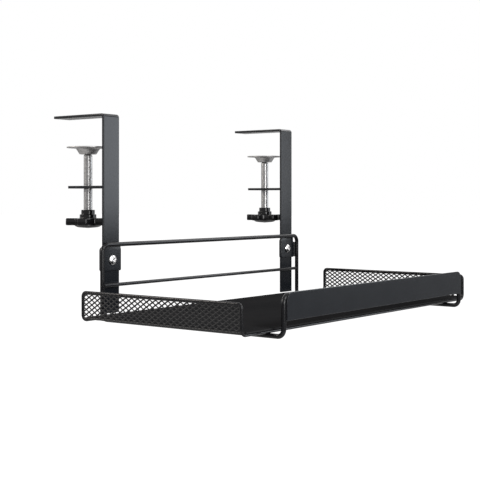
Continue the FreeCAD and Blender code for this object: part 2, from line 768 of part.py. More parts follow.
doc.recompute()
for thing in doc.Objects:
    if {"Invalid", "Error"} & set(thing.State):
        raise RuntimeError(f"{thing.Label} failed: {thing.State} {thing.getStatusString()}")
for part in parts:
    if part.Shape.isNull() or not part.Shape.isValid() or part.Shape.Volume <= 0:
        raise RuntimeError(f"{part.Label} has no valid solid")

os.makedirs("parts", exist_ok=True)
for part in parts:
    part.Shape.exportStep(f"parts/{part.Label}.step")
    print(f"{part.Label}: {len(part.Shape.Solids)} solid, {part.Shape.Volume:.1f} mm3")
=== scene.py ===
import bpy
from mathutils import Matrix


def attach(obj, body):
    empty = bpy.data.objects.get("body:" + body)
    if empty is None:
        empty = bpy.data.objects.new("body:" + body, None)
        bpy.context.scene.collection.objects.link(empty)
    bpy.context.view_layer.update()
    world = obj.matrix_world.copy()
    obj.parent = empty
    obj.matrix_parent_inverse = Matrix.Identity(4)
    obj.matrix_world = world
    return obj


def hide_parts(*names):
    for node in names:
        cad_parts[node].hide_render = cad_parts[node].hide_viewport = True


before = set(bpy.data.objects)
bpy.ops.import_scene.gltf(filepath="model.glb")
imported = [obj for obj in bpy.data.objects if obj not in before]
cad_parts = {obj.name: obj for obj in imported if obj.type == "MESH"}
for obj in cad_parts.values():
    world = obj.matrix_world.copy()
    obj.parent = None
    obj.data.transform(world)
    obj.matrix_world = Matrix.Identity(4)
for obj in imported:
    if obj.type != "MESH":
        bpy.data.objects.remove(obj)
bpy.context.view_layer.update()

import math

import bmesh
import bpy
import numpy as np
from mathutils import Vector
from mathutils.geometry import tessellate_polygon

# Under-desk shelf on two screw clamps. Shapes are worked out in millimetres in the part's own frame:
# +X along the shelf, +Y under the desk, +Z up, the desk's edge along the X axis. Materials, lamps and
# the camera are in metres.

MM = 0.001
SIDES = {"left": -1, "right": 1}

# Bracket bars and clamp plates
BAR_X = 169.0
BAR_WIDTH = 25.0
BAR_THICK = 3.0
BAR_DROP = 218.0
ARM_LENGTH = 80.0
PLATE_DROP = 76.8
PLATE_THICK = 3.0
PLATE_LENGTH = 55.0
# Clamp screws, pads and knobs
SCREW_Y = 34.0
SCREW_RADIUS = 5.0
SCREW_LENGTH = 77.7
THREAD_PITCH = 1.5
PAD_TOP_Z = -32.7
PAD_HEIGHT = 8.4
CUP_LOW_Z = PAD_TOP_Z - PAD_HEIGHT
KNOB_BORE_DEPTH = 15.0
KNOB_TOP_Z = CUP_LOW_Z - SCREW_LENGTH + KNOB_BORE_DEPTH
KNOB_DEGREES = {"left": 30.0, "right": 1.5}
LOBES = 5
# Saddle channels, bolts and nuts
SHEET = 1.5
BAR_GAP = 1.0
SADDLE_HALF = BAR_WIDTH / 2 + BAR_GAP + SHEET
WEB_FRONT_Y = -BAR_THICK - SHEET
SADDLE_HEIGHT = 26.8
SADDLE_BEND = 1.0
BOLT_Z = -159.0
# Cradle wires
WIRE = 2.5
WELD_GAP = 0.8
LEG_BEND = 7.0
GUARD_BEND = 8.0
GUARD_Z = BOLT_Z + 17.1
LEG_Z = GUARD_Z - 81.2
FRONT_GUARD_Z = LEG_Z + 39.5
MID_ROD_Z = LEG_Z + 36.6
JOINT_Z = LEG_Z + 12.5
WIRE_X = BAR_X + SADDLE_HALF + WELD_GAP + WIRE
REAR_Y = WEB_FRONT_Y - WIRE
SADDLE_TOP_Z = GUARD_Z - WIRE
# Shelf
TRAY_LENGTH = 467.2
TRAY_DEPTH = 213.0
TRAY_REAR_Y = -21.5
TRAY_FRONT_Y = TRAY_REAR_Y - TRAY_DEPTH
FRONT_Y = TRAY_FRONT_Y - 14.8
RAIL = 1.5
RAIL_Z = LEG_Z + WIRE + RAIL
RAIL_BEND = 6.0
RIM_X = TRAY_LENGTH / 2 - RAIL
RIM_BEND = 4.5
RIM_JOINT_Z = RAIL_Z + 9.0
RIM_TOP_Z = RAIL_Z + 29.8
FLOOR_LOW_Z = RAIL_Z + RAIL
FLOOR_THICK = 1.6
# Expanded metal
CELL_ALONG = 8.12
CELL_UP = 5.13
STRAND = 1.55
FIRST_CELL = (-28.1, -194.4)
# Points round a wire or a turned piece, and steps of an arc
WIRE_SIDES = 28
RAIL_SIDES = 24
THREAD_SIDES = 40
TURNED_SIDES = 96
HEXAGON_SIDES = 72
WELD_SIDES = 16
CELL_SIDES = 8
HEM_SIDES = 12
ARC_STEPS = 8
SHORT_ARC_STEPS = 5
WIRE_STEPS = 14
RIM_STEPS = 12
HEM_STEPS = 10
PANEL_STEPS = 16
EASE_STEPS = 3
# Flat strip beside an eased edge, which keeps the shading of the wide flat next to it level
LIP = 0.35
# Points of a shell or of a mesh's cells that lie this near each other, in metres, are one
SHELL_REACH = 1e-7
CELL_REACH = 2e-6
# Angle in degrees past which an edge is shaded sharp, where a piece has none of its own
CREASE = 38


# Shader maths: an expression on values adds its Math nodes

class Value:
    """A number that changes over a surface. Sums, products and the like on it add Math nodes."""

    def __init__(self, finish, socket):
        self.finish = finish
        self.socket = socket

    def maths(self, operation, *others, swap=False):
        """The operation on this value and the others, in that order unless they are swapped."""
        terms = [self, *others]
        if swap:
            terms.reverse()
        node = self.finish.node("ShaderNodeMath", {"operation": operation}, dict(enumerate(terms)))
        return Value(self.finish, node.outputs[0])

    def __add__(self, other):
        return self.maths("ADD", other)

    __radd__ = __add__

    def __mul__(self, other):
        return self.maths("MULTIPLY", other)

    __rmul__ = __mul__

    def __sub__(self, other):
        return self.maths("SUBTRACT", other)

    def __rsub__(self, other):
        return self.maths("SUBTRACT", other, swap=True)

    def __abs__(self):
        return self.maths("ABSOLUTE")

    def __pow__(self, other):
        return self.maths("POWER", other)

    def sine(self):
        return self.maths("SINE")


# Sockets of a Mix node that are used when it mixes colours
MIX_SHARE, MIX_LOW, MIX_HIGH, MIX_RESULT = 0, 6, 7, 2


class Finish:
    """One material: its nodes, and the shader that they feed."""

    def __init__(self, name):
        self.material = bpy.data.materials.new(name)
        self.material.use_nodes = True
        self.tree = self.material.node_tree
        self.tree.nodes.clear()
        self.place = self.node("ShaderNodeTexCoord").outputs["Object"]
        axes = self.node("ShaderNodeSeparateXYZ", {}, {0: self.place})
        self.x = Value(self, axes.outputs[0])
        self.y = Value(self, axes.outputs[1])

    def node(self, kind, settings=None, inputs=None):
        """A node of that kind, with its settings made first and then its sockets set or linked."""
        node = self.tree.nodes.new(kind)
        for name, setting in (settings or {}).items():
            setattr(node, name, setting)
        for name, value in (inputs or {}).items():
            if isinstance(value, Value):
                value = value.socket
            if isinstance(value, bpy.types.NodeSocket):
                self.tree.links.new(value, node.inputs[name])
            else:
                node.inputs[name].default_value = value
        return node

    def noise(self, waves, detail, stretch=(1, 1, 1)):
        """Noise from 0 to 1, so many waves to a metre."""
        moved = self.node("ShaderNodeMapping", {}, {"Vector": self.place, "Scale": stretch})
        node = self.node("ShaderNodeTexNoise", {},
                         {"Vector": moved.outputs[0], "Scale": waves, "Detail": detail})
        return Value(self, node.outputs["Fac"])

    def mix(self, share, low, high):
        """Colour between low and high."""
        node = self.node("ShaderNodeMix", {"data_type": "RGBA"},
                         {MIX_SHARE: share, MIX_LOW: (*low, 1), MIX_HIGH: (*high, 1)})
        return node.outputs[MIX_RESULT]

    def bump(self, height, depth):
        """Normal of a relief of that depth in metres."""
        node = self.node("ShaderNodeBump", {}, {"Height": height, "Distance": depth, "Strength": 1.0})
        return node.outputs[0]

    def shade(self, **inputs):
        """The Principled shader, fed by name, an underscore standing for a space."""
        named = {name.replace("_", " "): value for name, value in inputs.items()}
        shader = self.node("ShaderNodeBsdfPrincipled", {}, named)
        self.node("ShaderNodeOutputMaterial", {}, {"Surface": shader.outputs[0]})
        return self.material


def powder_coat(name, dark, light, gloss, specular, grain):
    """Baked powder coat: faint mottling, orange peel of that grain in metres, uneven gloss."""
    finish = Finish(name)
    mottle = finish.noise(waves=45, detail=3)
    peel = finish.noise(waves=1 / grain, detail=2)
    dust = finish.noise(waves=2600, detail=1)
    dust_share, dust_height = 0.3, 0.25
    mottle_gloss, peel_gloss = 0.06, 0.05
    relief = grain * 0.02
    return finish.shade(
        Base_Color=finish.mix(mottle * (1 - dust_share) + dust * dust_share, dark, light),
        Roughness=gloss + (mottle - 0.5) * mottle_gloss + (peel - 0.5) * peel_gloss,
        Specular_IOR_Level=specular,
        Normal=finish.bump(peel + dust * dust_height, relief))


ZINC_DARK = (0.40, 0.395, 0.39)
ZINC_LIGHT = (0.54, 0.535, 0.535)


def zinc_plate(name, gloss, tone):
    """Plated steel, brighter or darker by tone: lathe marks round each clamp's axis, cloudy passivation.

    The marks are a sine of the distance from the axis, so many radians to a metre.
    """
    finish = Finish(name)
    off_x = abs(finish.x) - BAR_X * MM
    off_y = finish.y - SCREW_Y * MM
    from_axis = (off_x * off_x + off_y * off_y) ** 0.5
    mark_turns = 9000
    marks = (from_axis * mark_turns).sine() * 0.5 + 0.5
    cloud = finish.noise(waves=160, detail=3)
    scratch = finish.noise(waves=500, detail=2, stretch=(1, 1, 14))
    cloud_gloss, scratch_gloss = 0.05, 0.04
    mark_height, relief = 0.5, 0.00001
    dark = [part * tone for part in ZINC_DARK]
    light = [part * tone for part in ZINC_LIGHT]
    return finish.shade(
        Base_Color=finish.mix(cloud, dark, light),
        Metallic=1.0,
        Roughness=gloss + cloud * cloud_gloss + scratch * scratch_gloss,
        Normal=finish.bump(marks * mark_height + scratch, relief))


def moulded_plastic(name, dark, light, gloss, specular):
    """Glossy plastic: faint flow marks and a soft waviness."""
    finish = Finish(name)
    flow = finish.noise(waves=90, detail=3)
    fine = finish.noise(waves=1500, detail=2)
    flow_gloss, fine_gloss = 0.06, 0.03
    fine_height, relief = 0.4, 0.00002
    return finish.shade(
        Base_Color=finish.mix(flow, dark, light),
        Roughness=gloss + flow * flow_gloss + fine * fine_gloss,
        Specular_IOR_Level=specular,
        Normal=finish.bump(fine * fine_height + flow, relief))


SATIN = powder_coat("satin_powder_coat", dark=(0.005, 0.006, 0.008), light=(0.008, 0.009, 0.011),
                    gloss=0.20, specular=0.23, grain=0.0011)
FLOOR_COAT = powder_coat("floor_powder_coat", dark=(0.018, 0.018, 0.019), light=(0.024, 0.024, 0.025),
                         gloss=0.75, specular=0.0, grain=0.0012)
WIRE_COAT = powder_coat("wire_powder_coat", dark=(0.005, 0.005, 0.006), light=(0.008, 0.008, 0.009),
                        gloss=0.15, specular=0.20, grain=0.0009)
MESH_COAT = powder_coat("mesh_powder_coat", dark=(0.006, 0.006, 0.007), light=(0.010, 0.010, 0.011),
                        gloss=0.45, specular=0.32, grain=0.0007)
PLATE = zinc_plate("bright_zinc_plate", gloss=0.25, tone=0.85)
PAD_PLATE = zinc_plate("satin_zinc_plate", gloss=0.45, tone=0.82)
BOLT_PLATE = zinc_plate("white_zinc_plate", gloss=0.22, tone=1.35)
PLASTIC = moulded_plastic("moulded_plastic", dark=(0.004, 0.004, 0.0045), light=(0.008, 0.008, 0.009),
                          gloss=0.07, specular=0.19)
COATS = {"black_steel": SATIN, "black_wire": WIRE_COAT, "black_mesh": MESH_COAT,
         "plated_steel": PLATE, "black_plastic": PLASTIC}


# Plane geometry

def full_turn(count):
    """So many even angles round a circle."""
    return np.linspace(0, 2 * math.pi, count, endpoint=False)


def bearings(angle):
    """Unit plane vectors at those angles."""
    return np.stack([np.cos(angle), np.sin(angle)], axis=-1)


def left_of(ways):
    """Each plane vector turned a quarter to the left."""
    return np.stack([-ways[:, 1], ways[:, 0]], axis=1)


def turned(arms, angle):
    """Each plane vector turned by each of its angles."""
    cos, sin = np.cos(angle), np.sin(angle)
    return np.stack([arms[:, None, 0] * cos - arms[:, None, 1] * sin,
                     arms[:, None, 0] * sin + arms[:, None, 1] * cos], axis=-1)


def all_turned(arms, angle):
    """All plane vectors turned by one angle."""
    return turned(arms, np.full((len(arms), 1), angle))[:, 0]


def outline(corners, inset=0.0, steps=ARC_STEPS, closed=True):
    """Points and directions along straight lines joined by arcs. Corners are rows of (a, b, radius).

    Every line moves inset to its left, so an anticlockwise outline shrinks: a corner moves along the
    sum of its two lines' normals, a left-hand arc loses inset from its radius, a right-hand one gains it.
    An arc of radius r leaves its lines r * tan(turn / 2) from the corner.
    """
    corners = np.array(corners, float)
    spots = corners[:, :2]
    ahead = np.roll(spots, -1, axis=0) - spots
    if not closed:
        ahead[-1] = ahead[-2]
    ahead /= np.linalg.norm(ahead, axis=1)[:, None]
    behind = np.roll(ahead, 1, axis=0)
    if not closed:
        behind[0] = ahead[0]
    straightness = (behind * ahead).sum(1)[:, None]
    moved = spots + inset * (left_of(behind) + left_of(ahead)) / (1 + straightness)
    turn = np.arctan2((left_of(behind) * ahead).sum(1), straightness[:, 0])
    side = np.sign(turn)
    bend = np.maximum(corners[:, 2] - side * inset, 0.0)
    start = moved - behind * (bend * np.tan(np.abs(turn) / 2))[:, None]
    centre = start + left_of(behind) * (side * bend)[:, None]
    angle = turn[:, None] * np.linspace(0, 1, steps + 1)
    points = (centre[:, None] + turned(start - centre, angle)).reshape(-1, 2)
    ways = turned(behind, angle).reshape(-1, 2)
    if not closed:
        return points[steps:-steps], ways[steps:-steps]
    return points, ways


def staple(low, high, end, level, bend, steps=WIRE_STEPS):
    """Path of a wire bent twice: from its end to its level, across from low to high, and back."""
    return outline([(low, end, 0), (low, level, bend), (high, level, bend), (high, end, 0)],
                   steps=steps, closed=False)


def round_inset(radius, rise):
    """How far a quarter round stands back at a rise from its start: radius less its circle's height."""
    left = radius - np.minimum(rise, radius)
    return radius - np.sqrt(radius ** 2 - left ** 2)


def eased(low, high, ease):
    """Rows of (inset, height) up a slab's edge: a lip on the face, a quarter round, a lip on the wall,
    and the same again to the other face."""
    angle = np.linspace(0, math.pi / 2, EASE_STEPS + 1)
    wall_lip = min(LIP, (high - low - 2 * ease) / 3)
    inset = np.concatenate([[ease + LIP], ease * (1 - np.sin(angle)), [0]])
    rise = np.concatenate([[0], ease * (1 - np.cos(angle)), [ease + wall_lip]])
    return list(zip(inset, low + rise)) + list(zip(inset[::-1], high - rise[::-1]))


# Space: which axes a plane's own two and its height stand for, and the plane across an axis
FLAT = {"XY": (0, 1, 2), "XZ": (0, 2, 1), "YZ": (1, 2, 0)}
ACROSS = {"X": "YZ", "Y": "XZ", "Z": "XY"}


def placed(flat, height, plane):
    """Plane points and heights put in space: the plane's two axes, then the height along the third."""
    out = np.empty(flat.shape[:-1] + (3,))
    first, second, third = FLAT[plane]
    out[..., first], out[..., second], out[..., third] = flat[..., 0], flat[..., 1], height
    return out


def polar(radius, height, angle, origin, axis):
    """Rings of points: radius and height over angle, round an axis through the origin point."""
    radius, height = np.broadcast_arrays(radius, height)
    return placed(radius[..., None] * bearings(angle), height, ACROSS[axis]) + np.array(origin, float)


def grid_faces(rows, around, closed=False):
    """Four-sided faces between neighbouring rows of points, each row closed on itself."""
    row = np.arange(rows if closed else rows - 1)[:, None]
    column = np.arange(around)[None, :]
    after, below = (column + 1) % around, (row + 1) % rows
    faces = np.stack(np.broadcast_arrays(row * around + column, row * around + after,
                                         below * around + after, below * around + column), axis=-1)
    return faces.reshape(-1, 4).tolist()


# Meshes

def welded(name, points, faces, reach):
    """A mesh in metres, and its bmesh with the points welded that lie within reach of each other."""
    mesh = bpy.data.meshes.new(name)
    mesh.from_pydata((points * MM).astype(np.float32).tolist(), [], faces)
    work = bmesh.new()
    work.from_mesh(mesh)
    bmesh.ops.remove_doubles(work, verts=work.verts, dist=reach)
    return mesh, work


def make_piece(name, mesh, work, node, body, material, crease):
    """The piece of that name: faces turned outwards, shaded smooth up to the crease angle in degrees."""
    bmesh.ops.recalc_face_normals(work, faces=work.faces)
    work.to_mesh(mesh)
    work.free()
    mesh.shade_smooth()
    mesh.set_sharp_from_angle(angle=math.radians(crease))
    mesh.materials.append(material)
    thing = bpy.data.objects.new(name, mesh)
    bpy.context.scene.collection.objects.link(thing)
    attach(thing, body)
    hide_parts(node)


class Shell:
    """Closed surfaces that make one piece."""

    def __init__(self):
        self.points = []
        self.faces = []
        self.count = 0

    def add(self, points, faces):
        """More points, and the faces between them, which count from the first of these points."""
        points = np.asarray(points, float).reshape(-1, 3)
        self.points.append(points)
        self.faces.extend([[self.count + corner for corner in face] for face in faces])
        self.count += len(points)
        return self

    def rings(self, grid, closed=False, caps=True):
        """A grid of rings from end to end, with a flat cap on each end unless it is closed."""
        rows, around = grid.shape[:2]
        faces = grid_faces(rows, around, closed)
        if caps and not closed:
            faces.append(list(range(around)))
            faces.append(list(range((rows - 1) * around, rows * around)))
        return self.add(grid, faces)

    def finish(self, name, node, body, slot, material=None, crease=CREASE):
        """The piece, in its slot's coat unless another material is given."""
        mesh, work = welded(name, np.concatenate(self.points), self.faces, SHELL_REACH)
        make_piece(name, mesh, work, node, body, material or COATS[slot], crease)


def slab(corners, low, high, ease, plane="XY", hole=None, steps=ARC_STEPS):
    """A plate: its outline carried along an eased edge profile, with a round hole if one is given.

    The hole is a row of (a, b, radius). Its edge is eased as the outline's is.
    """
    profile = eased(low, high, ease)
    heights = np.array([height for _, height in profile])[:, None]
    grid = np.stack([outline(corners, inset, steps)[0] for inset, _ in profile])
    if hole is None:
        return Shell().rings(placed(grid, heights, plane))
    circle = bearings(full_turn(TURNED_SIDES // 2))
    bore = np.stack([np.array(hole[:2]) + circle * (hole[2] + inset) for inset, _ in profile])
    rows, outer, inner = len(profile), grid.shape[1], bore.shape[1]
    faces = grid_faces(rows, outer)
    faces += [[rows * outer + corner for corner in face] for face in grid_faces(rows, inner)]
    loops = [[Vector((*point, 0)) for point in edge[0]] for edge in (grid, bore)]
    for triangle in tessellate_polygon(loops):
        for row in (0, rows - 1):
            faces.append([row * outer + corner if corner < outer
                          else rows * outer + row * inner + corner - outer for corner in triangle])
    points = np.concatenate([placed(edge, heights, plane).reshape(-1, 3) for edge in (grid, bore)])
    return Shell().add(points, faces)


def tube(path, radius, height, plane, around=WIRE_SIDES):
    """A round wire: at each point of its plane path a circle across the path's direction."""
    points, ways = path
    angle = full_turn(around)
    flat = points[:, None] + left_of(ways)[:, None] * (radius * np.cos(angle))[None, :, None]
    return Shell().rings(placed(flat, height + radius * np.sin(angle)[None, :], plane))


def lathe(profile, origin, axis, around):
    """A turned form: rows of (radius, height) swept round an axis through the origin point."""
    profile = np.array(profile, float)
    grid = polar(profile[:, :1], profile[:, 1:], full_turn(around), origin, axis)
    return Shell().rings(grid, caps=False)


# Pieces that come in pairs

def bracket_bar(side, sign):
    """Flat bar bent once: its side outline carried across its width."""
    middle, half, end = sign * BAR_X, BAR_WIDTH / 2, ARM_LENGTH - BAR_THICK
    tip_round, bend, ease = 0.6, 1.0, 0.9
    corners = [(end, BAR_THICK, tip_round), (-BAR_THICK, BAR_THICK, bend + BAR_THICK),
               (-BAR_THICK, -BAR_DROP, tip_round), (0, -BAR_DROP, tip_round),
               (0, 0, bend), (end, 0, tip_round)]
    shell = slab(corners, middle - half, middle + half, ease, "YZ")
    shell.finish(f"{side}_bar", f"{side}_bracket_bar", "shelf", "black_steel")


def clamp_plate(side, sign):
    """Plate with rounded outer corners and the screw's hole."""
    middle, half = sign * BAR_X, BAR_WIDTH / 2
    bar_round, outer_round, ease, clearance = 0.3, 3.0, 0.4, 0.05
    corners = [(middle - half, 0, bar_round), (middle + half, 0, bar_round),
               (middle + half, PLATE_LENGTH, outer_round), (middle - half, PLATE_LENGTH, outer_round)]
    shell = slab(corners, -PLATE_DROP - PLATE_THICK, -PLATE_DROP, ease,
                 hole=(middle, SCREW_Y, SCREW_RADIUS + clearance))
    shell.finish(f"{side}_plate", f"{side}_clamp_plate", "shelf", "black_steel")


def clamp_screw(side, sign):
    """Threaded rod with a plain neck above and a tapered end below, from rows of (radius, height).

    Along the thread the radius over angle and z is the full one less a groove with sloping flanks,
    deepest where z / pitch - angle / full turn is a whole number and a half, and fading out at both ends.
    """
    thread_top, thread_low = -2.0, 1.0 - SCREW_LENGTH
    neck_radius, neck_top, collar = 3.5, 5.0, 4.9
    groove_depth, groove_width, flank = 0.45, 0.42, 0.30
    fade_in, fade_out, rows_per_turn = 1.5, 1.0, 8
    angle = full_turn(THREAD_SIDES)
    neck_low, flare, flare_z, collar_z = -0.1, 4.3, -0.9, -1.5
    neck = [(0, neck_top), (neck_radius, neck_top), (neck_radius, neck_low), (flare, flare_z),
            (collar, collar_z)]
    levels = np.arange(thread_top, thread_low, -THREAD_PITCH / rows_per_turn)
    thread = [(SCREW_RADIUS, level) for level in levels]
    end = [(collar, thread_low), (collar - 1.0, -SCREW_LENGTH), (0, -SCREW_LENGTH)]
    rows = np.array(neck + thread + end)
    core, z = rows[:, :1], rows[:, 1:]
    phase = (z / THREAD_PITCH - angle / (2 * math.pi)) % 1
    groove = np.clip((groove_width - 2 * np.abs(phase - 0.5)) / flank, 0, 1)
    fade = np.clip((thread_top - z) / fade_in, 0, 1) * np.clip((z - thread_low) / fade_out, 0, 1)
    grid = polar(core - groove_depth * groove * fade, z, angle, (sign * BAR_X, SCREW_Y, CUP_LOW_Z), "Z")
    shell = Shell().rings(grid, caps=False)
    shell.finish(f"{side}_screw", f"{side}_clamp_screw", f"{side}_screw", "plated_steel")


def clamp_pad(side, sign):
    """Pressed disc and the cup under it, turned from one rounded profile, with the neck's socket."""
    low = -PAD_HEIGHT
    disc, disc_thick, disc_round = 24.0, 1.3, 0.5
    step, step_round = 13.9, 5.0
    cup, cup_round = 9.5, 0.9
    socket, socket_depth, socket_round = 3.6, 5.1, 0.3
    profile, _ = outline([(0, 0, 0), (disc, 0, disc_round), (disc, -disc_thick, disc_round),
                          (step, -disc_thick, step_round), (cup, low, cup_round),
                          (socket, low, socket_round), (socket, low + socket_depth, 0),
                          (0, low + socket_depth, 0)], steps=SHORT_ARC_STEPS, closed=False)
    shell = lathe(profile, (sign * BAR_X, SCREW_Y, PAD_TOP_Z), "Z", TURNED_SIDES)
    shell.finish(f"{side}_pad", f"{side}_clamp_pad", f"{side}_pad", "plated_steel", PAD_PLATE, crease=50)


def every_lobe(half):
    """Plane vectors of half a lobe, mirrored to make it whole and repeated for every lobe."""
    axis = bearings(math.pi / LOBES)
    flip = np.outer(axis, axis) * 2 - np.eye(2)
    lobe = np.concatenate([half, (half @ flip)[-2:0:-1]])
    return np.concatenate([all_turned(lobe, turn) for turn in full_turn(LOBES)])


def lobe_outline():
    """Points and outward normals of the knob's edge: hollow arcs, small rounds, outer arcs in turn.

    A hollow is an arc about a centre so far away from the knob's, and a small round leads from it to the
    knob's own radius. The round's centre lies radius - round_off from the knob's and hollow + round_off
    from the hollow's, so the law of cosines gives its bearing.
    """
    radius, hollow, away, round_off = 25.0, 9.0, 26.0, 3.5
    reach = radius - round_off
    tilt = math.acos((reach ** 2 + away ** 2 - (hollow + round_off) ** 2) / (2 * reach * away))
    hollow_middle = np.array([away, 0])
    round_middle = reach * bearings(tilt)
    down = round_middle - hollow_middle
    meeting = math.atan2(down[1], down[0])
    in_hollow = bearings(np.linspace(math.pi, meeting, ARC_STEPS, endpoint=False))
    in_round = bearings(np.linspace(meeting - math.pi, tilt, ARC_STEPS, endpoint=False))
    outside = bearings(np.linspace(tilt, math.pi / LOBES, ARC_STEPS // 2))
    points = np.concatenate([hollow_middle + hollow * in_hollow, round_middle + round_off * in_round,
                             radius * outside])
    normals = np.concatenate([-in_hollow, in_round, outside])
    return every_lobe(points), every_lobe(normals)


def star_knob(side, sign):
    """Knob: circles up its bore and down its hub and tier, the lobed edge with eased rims, a domed foot."""
    clearance = 0.02
    bore, bore_low = SCREW_RADIUS + clearance, -KNOB_BORE_DEPTH - clearance
    hub, tier, flat_end = 7.7, 9.5, 16.0
    tier_top, lobe_top, lobe_low = -5.0, -9.3, -17.4
    top, _ = outline([(0, bore_low, 0), (bore, bore_low, 0), (bore, 0, 0.4), (hub, 0, 0.7),
                      (hub, tier_top, 0.5), (tier, tier_top, 0.8), (tier, lobe_top, 0.9),
                      (flat_end, lobe_top, 0)], steps=SHORT_ARC_STEPS, closed=False)
    dome_flat, dome_edge, dome_shoulder = 16.8, 15.6, 12.5
    shoulder_z, dome_low = lobe_low - 2.3, lobe_low - 3.4
    dome, _ = outline([(dome_flat, lobe_low, 0), (dome_edge, lobe_low, 1.0),
                       (dome_shoulder, shoulder_z, 9.0), (0, dome_low, 0)], closed=False)
    ease = 1.3
    angle = np.linspace(0, math.pi / 2, SHORT_ARC_STEPS + 1)
    inset, fall = ease * (1 - np.sin(angle)), ease * (1 - np.cos(angle))
    rims = [(ease + LIP, lobe_top), *zip(inset, lobe_top - fall), *zip(fall, lobe_low + inset),
            (ease + LIP, lobe_low)]
    edge, outwards = lobe_outline()
    around = bearings(np.arctan2(edge[:, 1], edge[:, 0]))
    rings = [(around * radius, height) for radius, height in top]
    rings += [(edge - outwards * back, height) for back, height in rims]
    rings += [(around * radius, height) for radius, height in dome]
    turn = math.radians(KNOB_DEGREES[side])
    grid = np.stack([placed(all_turned(flat, turn), height, "XY") for flat, height in rings])
    shell = Shell().rings(grid + np.array([sign * BAR_X, SCREW_Y, KNOB_TOP_Z]), caps=False)
    shell.finish(f"{side}_knob", f"{side}_star_knob", f"{side}_screw", "black_plastic")


def saddle_section(back):
    """Corners of the channel's section, its outer lip drawn back by that much.

    The inner lip follows up to a limit, and the inner side by half as much, up to a limit of its own.
    """
    outer_lip, inner_lip, inner_limit, side_limit = 5.8, 3.4, 1.7, 0.8
    lip_round, bend = 0.35, SHEET + SADDLE_BEND
    outer_tip = WEB_FRONT_Y + outer_lip - back
    inner_tip = WEB_FRONT_Y + inner_lip - min(back, inner_limit)
    outer, inner = SADDLE_HALF, SADDLE_HALF - min(back / 2, side_limit)
    return [(outer, outer_tip, lip_round), (outer - SHEET, outer_tip, lip_round),
            (outer - SHEET, -BAR_THICK, SADDLE_BEND), (SHEET - inner, -BAR_THICK, SADDLE_BEND),
            (SHEET - inner, inner_tip, lip_round), (-inner, inner_tip, lip_round),
            (-inner, WEB_FRONT_Y, bend), (outer, WEB_FRONT_Y, bend)]


def weld_bead(sign, low, high):
    """Rings of the seam beside the wire: a rod whose radius ripples with |sin(pi z / wave)|, round-ended."""
    thick, ripple, wave, end_length, levels = 1.45, 0.12, 1.9, 0.9, 90
    into_side, before_web = 0.15, 0.1
    z = np.linspace(low, high, levels)
    near_end = np.clip(np.minimum(z - low, high - z) / end_length, 0, 1)
    radius = (thick + ripple * np.abs(np.sin(z * math.pi / wave))) * np.sqrt(1 - (1 - near_end) ** 2)
    spot = (sign * (BAR_X + SADDLE_HALF - into_side), WEB_FRONT_Y - before_web, 0)
    return polar(radius[:, None], z[:, None], full_turn(WELD_SIDES), spot, "Z")


def saddle_channel(side, sign):
    """Bent sheet round the bar: its section carried upwards, its lips drawn back at both ends to round
    their corners, and a rippled weld beside the wire."""
    low = SADDLE_TOP_Z - SADDLE_HEIGHT
    low_corner, top_corner, ease, weld_end = 2.2, 4.4, 0.3, 0.4
    turn = 1 - np.cos(np.linspace(0, math.pi / 2, ARC_STEPS + 1))
    profile = []
    for corner, end, way in ((low_corner, low, 1), (top_corner, low + SADDLE_HEIGHT, -1)):
        rise = corner * turn
        back = round_inset(corner, rise)
        climb = [(ease + LIP, end, back[0]), *zip(round_inset(ease, rise), end + way * rise, back)]
        profile += climb[::way]
    rows = []
    for inset, level, back in profile:
        flat, _ = outline(saddle_section(back), inset, steps=SHORT_ARC_STEPS)
        rows.append(placed(flat * np.array([sign, 1]) + np.array([sign * BAR_X, 0]), level, "XY"))
    shell = Shell().rings(np.stack(rows))
    shell.rings(weld_bead(sign, low + weld_end, GUARD_Z - GUARD_BEND - weld_end), caps=False)
    shell.finish(f"{side}_saddle", f"{side}_saddle_channel", "shelf", "black_steel")


def hexagon(angle, flats):
    """Radius of a hexagon, so wide across its flats, over angle."""
    return flats / 2 / np.cos((angle + math.pi / 6) % (math.pi / 3) - math.pi / 6)


def channel_bolt(side, sign):
    """Domed head with a hexagon socket, and the shank behind it. Heights run to the front, along -Y.

    The dome's height over radius r is its rim's plus rise * cos(pi / 2 * r / head) ** power.
    """
    shank, length, chamfer = 3.0, 11.0, 0.4
    head, head_round, foot_ease, rim, rise, power = 5.5, 0.25, 0.3, 0.8, 2.5, 0.8
    flats, socket_lip, socket_ease, socket_floor, socket_point = 4.0, 0.25, 0.12, 1.3, 0.9
    angle = full_turn(HEXAGON_SIDES)
    circle = np.ones_like(angle)
    socket = hexagon(angle, flats)
    inwards = np.linspace(0, 1, ARC_STEPS)[:, None]
    dome_radius = head + (socket[None] + socket_lip - head) * inwards
    dome_height = rim + rise * np.cos(np.clip(dome_radius / head, 0, 1) * math.pi / 2) ** power
    rows = [(0, -length), (shank - chamfer, -length), (shank, chamfer - length), (shank, 0),
            (head - foot_ease, 0), (head, head_round)]
    radii = [circle * radius for radius, _ in rows] + [*dome_radius, socket, socket, circle * 0]
    heights = [circle * height for _, height in rows] + [*dome_height, dome_height[-1] - socket_ease,
                                                        circle * socket_floor, circle * socket_point]
    grid = polar(np.stack(radii), -np.stack(heights), angle, (sign * BAR_X, WEB_FRONT_Y, BOLT_Z), "Y")
    shell = Shell().rings(grid, caps=False)
    shell.finish(f"{side}_bolt", f"{side}_channel_bolt", "shelf", "plated_steel", BOLT_PLATE, crease=32)


